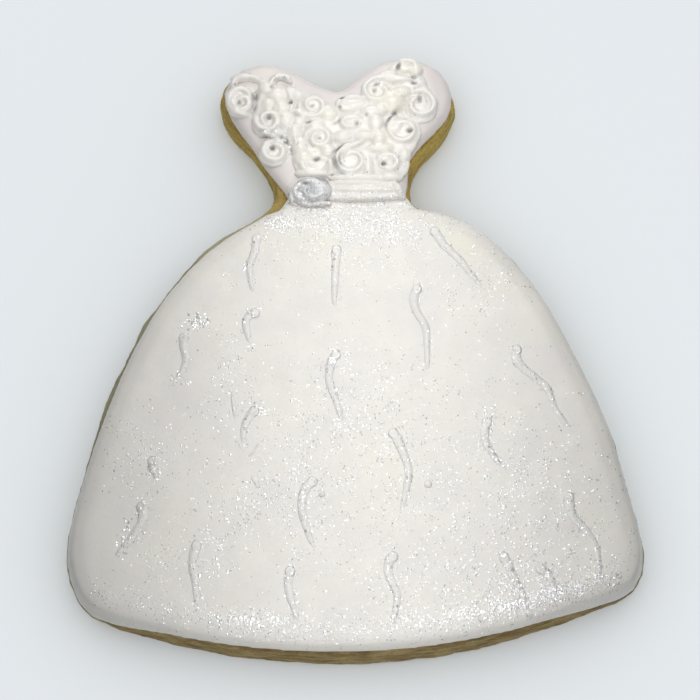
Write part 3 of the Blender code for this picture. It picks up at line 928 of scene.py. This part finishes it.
class COOKIE_OT_pipe_waist_band(bpy.types.Operator):
    """Pipe the band across the waist"""

    bl_idname = "cookie.pipe_waist_band"
    bl_label = "Pipe waist band"

    def execute(self, context):
        scene = context.scene
        piece = copy_nodes("waist_piping", ["waist_band"])
        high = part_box("waist_band")[1]
        modify(piece, "DISPLACE", strength=-0.35 * MM, mid_level=0.0)
        places = vertex_places(piece)
        end = np.clip((places[:, 0] - 5.0 * MM) / (4.0 * MM), 0.0, 1.0)
        upper = np.clip((places[:, 1] - 26.5 * MM) / (3.0 * MM), 0.0, 1.0)
        places[:, 0] -= end * upper * 1.3 * MM
        set_vertex_places(piece, places)
        add_dabs(piece, BAND_ROWS, high.z - 1.25 * MM)
        refine(piece, 0.20 * MM, 0.5, 5)
        roughen(piece, 2.6 * MM, 0.30 * MM, stretch=(2.2, 1.0, 1.0))
        roughen(piece, 0.9 * MM, 0.10 * MM)
        settle(piece, "waist_band")
        finish = icing_finish("waist_icing_satin", scene.cookie_colours.icing, 0.38)
        finish_piece(piece, finish, ["waist_band"])
        return {"FINISHED"}


class COOKIE_OT_pipe_scrolls(bpy.types.Operator):
    """Pipe the scrolls that cover the bodice"""

    bl_idname = "cookie.pipe_scrolls"
    bl_label = "Pipe scrolls"

    def execute(self, context):
        scene = context.scene
        sizes = scene.cookie_sizes
        piece = copy_nodes("bodice_scrolls", SCROLL_NODES)
        modify(piece, "SUBSURF", levels=2, render_levels=2)
        modify(piece, "DISPLACE", strength=sizes.scroll_swell, mid_level=0.0)
        shift(piece, (0.0, 0.0, -FRAME_GAP - sizes.scroll_sink))
        add_dabs(piece, DABS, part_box("bodice_icing")[1].z - 0.1 * MM)
        add_ring(piece, (-21.1, 46.2, 8.9), (2.0, 2.4), 0.62)
        refine(piece, 0.18 * MM, 0.5, 5)
        roughen(piece, 1.8 * MM, 0.18 * MM)
        self.press_pits(piece)
        paint_spots(piece, "cream", SCROLL_CREAM)
        # Rubbed-in silver, and painted shade: the pits and the line under the left scroll's lower
        # stroke are painted dark.
        paint_spots(piece, "lustre_and_shade", PITS, SMEARS_AND_SHADE)
        # Painted shade for the dips between the strokes.
        paint_hollows(piece, "hollow_shade", 0.25 * MM, 3, 0.22 * MM)
        finish = icing_finish(
            "scroll_icing_satin", scaled(scene.cookie_colours.icing, 1.05), 0.34,
            scaled(scene.cookie_colours.silver, 0.33), coat=0.7, coat_roughness=0.14,
        )
        finish_piece(piece, finish, SCROLL_NODES)
        return {"FINISHED"}

    def press_pits(self, piece):
        """Push a small dip into the strokes at each pit."""
        places = vertex_places(piece)
        depth = np.zeros(len(places))
        for pit in PITS:
            depth = np.maximum(depth, spot_share(places, pit))
        floor_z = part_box("bodice_icing")[1].z
        above = np.clip((places[:, 2] - floor_z) / (1.0 * MM), 0.0, 1.0)
        places[:, 2] -= depth * above * 0.7 * MM
        set_vertex_places(piece, places)


class COOKIE_OT_pipe_curls(bpy.types.Operator):
    """Pipe the short wavy lines on the skirt"""

    bl_idname = "cookie.pipe_curls"
    bl_label = "Pipe wavy lines"

    def execute(self, context):
        scene = context.scene
        sizes = scene.cookie_sizes
        piece = copy_nodes("skirt_curls", CURL_NODES)
        modify(piece, "SUBSURF", levels=2, render_levels=2)
        modify(piece, "DISPLACE", strength=sizes.curl_swell, mid_level=0.0)
        low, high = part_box(CURL_NODES[0])
        add_dabs(piece, [self.head(node) for node in CURL_NODES], low.z)
        add_dabs(piece, EXTRA_CURLS, low.z)
        refine(piece, 0.18 * MM, 0.5, 3)
        self.drape(context, piece, low.z, high.z + sizes.curl_swell, sizes.curl_height)
        roughen(piece, 1.6 * MM, 0.12 * MM)
        heads = [self.head(node) for node in CURL_NODES]
        # Each wavy line's head is tinted a faint grey.
        paint_spots(piece, "lustre_and_shade", [Spot(head.x, head.y, 0.9, 1.0, 0.3) for head in heads])
        finish = icing_finish(
            "curl_icing_satin", scene.cookie_colours.icing, 0.36,
            scaled(scene.cookie_colours.silver, 0.75),
        )
        finish_piece(piece, finish, CURL_NODES)
        return {"FINISHED"}

    def head(self, node):
        """The round blob that a wavy line starts from, at its upper end."""
        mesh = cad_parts[node].data
        end = max(vertex.co.y for vertex in mesh.vertices)
        near = [vertex.co for vertex in mesh.vertices if vertex.co.y > end - 0.8 * MM]
        across = sum(place.x for place in near) / len(near)
        return Dab(across / MM, end / MM - 0.75, 0.92, 1.0, 1.2)

    def line_ends(self):
        """The wavy lines' points, and how far each lies from its line's head to its tail."""
        points, ends = [], []
        for node in CURL_NODES:
            low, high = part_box(node)
            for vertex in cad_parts[node].data.vertices:
                points.append(Vector((vertex.co.x, vertex.co.y, 0.0)))
                ends.append((high.y - vertex.co.y) / (high.y - low.y))
        lines = KDTree(len(points))
        for number, point in enumerate(points):
            lines.insert(point, number)
        lines.balance()
        return lines, ends

    def drape(self, context, piece, foot, top, rise):
        """Lower the lines into soft tapering mounds that follow the skirt's icing."""
        lines, ends = self.line_ends()
        skirt = BVHTree.FromObject(
            bpy.data.objects["skirt_flood"], context.evaluated_depsgraph_get()
        )
        places = vertex_places(piece)
        for place in places:
            ground, _, _, _ = skirt.ray_cast(Vector((place[0], place[1], RAY_START)), DOWN)
            level = ground.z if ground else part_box("skirt_icing")[1].z
            _, nearest, gap = lines.find(Vector((place[0], place[1], 0.0)))
            far = ends[nearest] if gap < CURL_REACH else 0.0
            sunk = CURL_TAPER * far
            share = min(1.0, ((place[2] - foot) / (top - foot) - sunk) / (1.0 - sunk))
            height = (1.0 - CURL_THINNING * far) * rise
            if share > 0.0:
                place[2] = level + height * share ** 1.2
            else:
                place[2] = level + share * height
        set_vertex_places(piece, places)


class COOKIE_OT_pipe_rosette(bpy.types.Operator):
    """Pipe the silver rosette at the left of the waist"""

    bl_idname = "cookie.pipe_rosette"
    bl_label = "Pipe silver rosette"

    def execute(self, context):
        scene = context.scene
        piece = copy_nodes("silver_rosette", ["rosette"])
        modify(piece, "SUBSURF", levels=2, render_levels=2)
        shift(piece, (0.0, 0.0, -FRAME_GAP))
        add_dabs(piece, ROSETTE_DABS, 9.6 * MM)
        add_dabs(piece, ROSETTE_RIM, 9.0 * MM)
        add_ring(piece, (-9.8, 27.1, 9.9), (0.95, 1.1), 0.48, tilt=(0.25, 0.2))
        add_ring(piece, (-6.8, 27.4, 9.55), (2.05, 1.80), 0.40, tilt=(0.0, 0.12))
        refine(piece, 0.12 * MM, 0.5, 8)
        roughen(piece, 0.9 * MM, 0.22 * MM)
        roughen(piece, 0.35 * MM, 0.08 * MM)
        # Painted shade in the rosette's dips and rims.
        paint_spots(piece, "lustre_and_shade", ROSETTE_SHADES)
        # White icing around the silver, and a painted highlight on the lower rim.
        paint_spots(piece, "pale", ROSETTE_PALES_AND_HIGHLIGHT)
        # This finish carries the rosette's painted shade and painted highlight.
        finish = silver_finish("silver_lustre", scaled(scene.cookie_colours.silver, 1.06), 0.38, 0.12)
        finish_piece(piece, finish, ["rosette"])
        return {"FINISHED"}


def flake_points(centre, normal, width, draw):
    """The six corners of one flake: an uneven square, thin, lying on a tilted plane."""
    helper = Vector((0.0, 1.0, 0.0)) if abs(normal.y) < 0.9 else Vector((1.0, 0.0, 0.0))
    side = normal.cross(helper).normalized()
    other = normal.cross(side)
    start = draw.uniform(0.0, math.pi / 2)
    corners = []
    for k in range(4):
        angle = start + k * math.pi / 2 + draw.uniform(-0.3, 0.3)
        reach = 0.5 * width * draw.uniform(0.75, 1.0)
        corners.append(centre + reach * (math.cos(angle) * side + math.sin(angle) * other))
    thick = 0.06 * width
    return [*corners, centre + thick * normal, centre - thick * normal]


FLAKE_FACES = [
    (0, 1, 4), (1, 2, 4), (2, 3, 4), (3, 0, 4), (1, 0, 5), (2, 1, 5), (3, 2, 5), (0, 3, 5),
]


# Flakes strewn along the hem, and the share left out left of a column in millimetres.
HEM_FLAKES = {"bright": 3000, "grey": 600}
THIN_HEM_END = -24
THIN_HEM_SHARE = 0.6
FLAKE_LIFT = 0.03 * MM
FLAKE_TILT = 0.16

GLITTERED = ("skirt_flood", "skirt_curls", "waist_piping", "silver_rosette", "bodice_scrolls")


class COOKIE_OT_dust_glitter(bpy.types.Operator):
    """Dust the icing with bright and grey flakes of glitter"""

    bl_idname = "cookie.dust_glitter"
    bl_label = "Dust glitter"

    def execute(self, context):
        scene = context.scene
        silver = tuple(scene.cookie_colours.silver)
        draw = random.Random(SEED)
        self.graph = context.evaluated_depsgraph_get()
        self.hem = self.hem_line()
        self.width = scene.cookie_sizes.flake_size
        bright = flake_finish("glitter_bright_metal", (0.98, 0.98, 0.97), 0.22, 0.4)
        grey = flake_finish("glitter_grey_metal", scaled(silver, 0.85), 0.35, 0.3)
        self.make(context, "glitter_bright", bright, "bright", draw)
        self.make(context, "glitter_grey", grey, "grey", draw)
        return {"FINISHED"}

    def hem_line(self):
        """The skirt's lowest y for each whole millimetre of x."""
        places = vertex_places(bpy.data.objects["skirt_flood"])
        columns = np.round(places[:, 0] / MM).astype(int)
        return {
            int(column): float(places[columns == column, 1].min())
            for column in np.unique(columns)
        }

    def spots(self, kind, draw):
        """Places in metres for one kind of flake, each with how coarse it is."""
        for zone in GLITTER_ZONES:
            number = zone.bright if kind == "bright" else zone.grey
            for _ in range(number):
                x = draw.gauss(zone.x, zone.reach_x) * MM
                y = draw.gauss(zone.y, zone.reach_y) * MM
                clump = noise.noise(Vector((x, y, 0.0)) / (2.4 * MM))
                if clump > draw.uniform(-0.55, 0.25):
                    yield x, y, zone.coarse
        for _ in range(HEM_FLAKES[kind]):
            column = draw.randint(-44, 44)
            if column < THIN_HEM_END and draw.random() < THIN_HEM_SHARE:
                continue
            x = (column + draw.uniform(-0.5, 0.5)) * MM
            if column in self.hem:
                yield x, self.hem[column] + abs(draw.gauss(3.6, 1.5)) * MM, 1.2
        for node in CURL_NODES:
            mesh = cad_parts[node].data
            for _ in range(self.on_curl(mesh.vertices[0].co, kind)):
                place = mesh.vertices[draw.randrange(len(mesh.vertices))].co
                aside = draw.gauss(0.25, 0.25) * MM
                along = draw.gauss(0.0, 0.35) * MM
                yield place.x + aside, place.y + along, 1.9

    def on_curl(self, place, kind):
        """How many flakes cling to the wavy line at this place: most at the hem and right."""
        crowd = 16.0 + 30.0 * max(0.0, -place.y / (40.0 * MM)) + 24.0 * (place.x > 20.0 * MM)
        return int(crowd if kind == "bright" else 0.3 * crowd)

    def make(self, context, name, finish, kind, draw):
        points, faces = [], []
        for x, y, coarse in self.spots(kind, draw):
            hit, place, normal, _, found, _ = context.scene.ray_cast(
                self.graph, Vector((x, y, RAY_START)), DOWN
            )
            if not hit or found.name not in GLITTERED:
                continue
            tilt = Vector((draw.gauss(0.0, FLAKE_TILT), draw.gauss(0.0, FLAKE_TILT), 0.0))
            width = coarse * self.width * (0.30 + 0.70 * draw.random() ** 2.0)
            first = len(points)
            centre = place + normal * FLAKE_LIFT
            points += flake_points(centre, (normal + tilt).normalized(), width, draw)
            faces += [tuple(first + corner for corner in face) for face in FLAKE_FACES]
        mesh = bpy.data.meshes.new(name)
        mesh.from_pydata(points, [], faces)
        piece = bpy.data.objects.new(name, mesh)
        context.scene.collection.objects.link(piece)
        piece.data.materials.append(finish)
        select_only(piece)
        bpy.ops.object.mode_set(mode="EDIT")
        bpy.ops.mesh.select_all(action="SELECT")
        bpy.ops.mesh.normals_make_consistent(inside=False)
        bpy.ops.object.mode_set(mode="OBJECT")
        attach(piece, "root")


# ---------------------------------------------------------------------------
# Stage
# ---------------------------------------------------------------------------

CAMERA_TILT = math.radians(22.0)
CAMERA_DISTANCE = 0.360
CAMERA_AIM = Vector((-0.00089, 0.00048, 0.0))
CAMERA_LENS = 103.56

# The floor's own sun: wide and soft, leaning to one side.
SUN_STRENGTH = 2.83
SUN_SPREAD = math.radians(170.0)
SUN_TILT = math.radians(17.0)

WORLD_LIGHT = 0.17
SKY = (0.79, 0.82, 0.84)


def area_light(name, place, aim, size_x, size_y, power):
    data = bpy.data.lights.new(name, "AREA")
    data.shape = "RECTANGLE"
    data.size = size_x
    data.size_y = size_y
    data.energy = power
    lamp = bpy.data.objects.new(name, data)
    bpy.context.scene.collection.objects.link(lamp)
    lamp.location = place
    lamp.rotation_euler = (Vector(aim) - Vector(place)).to_track_quat("-Z", "Y").to_euler()
    return lamp


def light_only(lamp, name, objects):
    """Let a lamp light only these objects."""
    group = bpy.data.collections.new(name)
    for item in objects:
        group.objects.link(item)
    lamp.light_linking.receiver_collection = group


class COOKIE_OT_set_stage(bpy.types.Operator):
    """Set the floor, the soft lights and the camera"""

    bl_idname = "cookie.set_stage"
    bl_label = "Set stage"

    def execute(self, context):
        scene = context.scene
        floor = self.floor(scene.cookie_colours)
        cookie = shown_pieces()
        self.lights(floor, cookie)
        self.world(scene)
        self.camera(scene)
        scene.view_settings.view_transform = "Standard"
        return {"FINISHED"}

    def floor(self, colours):
        bpy.ops.object.select_all(action="DESELECT")
        bpy.ops.mesh.primitive_plane_add(size=6.0, location=(0.0, 0.0, CAD_BOX[0].z))
        floor = bpy.context.active_object
        floor.name = "floor"
        finish = Finish("pale_floor")
        finish.set(Base_Color=(*colours.floor, 1.0), Roughness=0.9, Specular_IOR_Level=0.1)
        floor.data.materials.append(finish.material)
        floor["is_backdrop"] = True
        return floor

    def lights(self, floor, cookie):
        strip = area_light(
            "strip_light", (0.003, 0.015, 0.060), (0.003, 0.015, 0.0), 0.060, 0.27, 0.066
        )
        softbox = area_light("softbox", (0.05, 0.45, 1.0), (0.0, 0.0, 0.0), 0.35, 0.30, 1.3)
        back = area_light("back_panel", (-0.05, 0.80, 0.50), (0.0, 0.0, 0.0), 0.25, 0.12, 0.8)
        over = area_light("over_panel", (0.03, -0.12, 1.0), (0.0, 0.0, 0.0), 0.40, 0.12, 0.75)
        over.visible_diffuse = False
        for lamp in (strip, softbox, back, over):
            lamp.visible_camera = False
            light_only(lamp, lamp.name + "_reach", cookie)
        data = bpy.data.lights.new("floor_sun", "SUN")
        data.energy = SUN_STRENGTH
        data.angle = SUN_SPREAD
        sun = bpy.data.objects.new("floor_sun", data)
        bpy.context.scene.collection.objects.link(sun)
        sun.rotation_euler = (0.0, SUN_TILT, 0.0)
        light_only(sun, "floor_sun_reach", [floor])

    def world(self, scene):
        """Dim light all round, behind which the camera sees a pale sky."""
        world = bpy.data.worlds.new("studio")
        world.use_nodes = True
        scene.world = world
        nodes = world.node_tree.nodes
        links = world.node_tree.links
        path = nodes.new("ShaderNodeLightPath")
        strength = nodes.new("ShaderNodeMapRange")
        strength.inputs["To Min"].default_value = WORLD_LIGHT
        strength.inputs["To Max"].default_value = 1.0
        links.new(path.outputs["Is Camera Ray"], strength.inputs["Value"])
        background = nodes["Background"]
        background.inputs["Color"].default_value = (*SKY, 1.0)
        links.new(strength.outputs["Result"], background.inputs["Strength"])

    def camera(self, scene):
        data = bpy.data.cameras.new("camera")
        data.lens = CAMERA_LENS
        data.sensor_width = 36.0
        data.clip_start = 0.01
        camera = bpy.data.objects.new("camera", data)
        scene.collection.objects.link(camera)
        back = Vector((0.0, -math.sin(CAMERA_TILT), math.cos(CAMERA_TILT)))
        camera.location = CAMERA_AIM + back * CAMERA_DISTANCE
        camera.rotation_euler = (CAMERA_TILT, 0.0, 0.0)
        scene.camera = camera


# ---------------------------------------------------------------------------
# Panel and registration
# ---------------------------------------------------------------------------

PIECE_OPERATORS = (
    COOKIE_OT_bake_biscuit,
    COOKIE_OT_flood_skirt,
    COOKIE_OT_flood_bodice,
    COOKIE_OT_pipe_waist_band,
    COOKIE_OT_pipe_scrolls,
    COOKIE_OT_pipe_curls,
    COOKIE_OT_pipe_rosette,
    COOKIE_OT_dust_glitter,
    COOKIE_OT_set_stage,
)


class COOKIE_PT_panel(bpy.types.Panel):
    """Lists the steps and settings of the cookie"""

    bl_idname = "COOKIE_PT_panel"
    bl_label = "Ball gown cookie"
    bl_space_type = "VIEW_3D"
    bl_region_type = "UI"
    bl_category = "Cookie"

    def draw(self, context):
        layout = self.layout
        for operator in PIECE_OPERATORS:
            layout.operator(operator.bl_idname)
        for group in (context.scene.cookie_sizes, context.scene.cookie_colours):
            box = layout.box()
            for name in group.__annotations__:
                box.prop(group, name)


CLASSES = (CookieSizes, CookieColours, *PIECE_OPERATORS, COOKIE_PT_panel)


def register():
    for item in CLASSES:
        bpy.utils.register_class(item)
    bpy.types.Scene.cookie_sizes = bpy.props.PointerProperty(type=CookieSizes)
    bpy.types.Scene.cookie_colours = bpy.props.PointerProperty(type=CookieColours)


def unregister():
    del bpy.types.Scene.cookie_colours
    del bpy.types.Scene.cookie_sizes
    for item in reversed(CLASSES):
        bpy.utils.unregister_class(item)


def main():
    register()
    bpy.ops.cookie.bake_biscuit()
    bpy.ops.cookie.flood_skirt()
    bpy.ops.cookie.flood_bodice()
    bpy.ops.cookie.pipe_waist_band()
    bpy.ops.cookie.pipe_scrolls()
    bpy.ops.cookie.pipe_curls()
    bpy.ops.cookie.pipe_rosette()
    bpy.ops.cookie.dust_glitter()
    bpy.ops.cookie.set_stage()


if __name__ == "__main__":
    main()
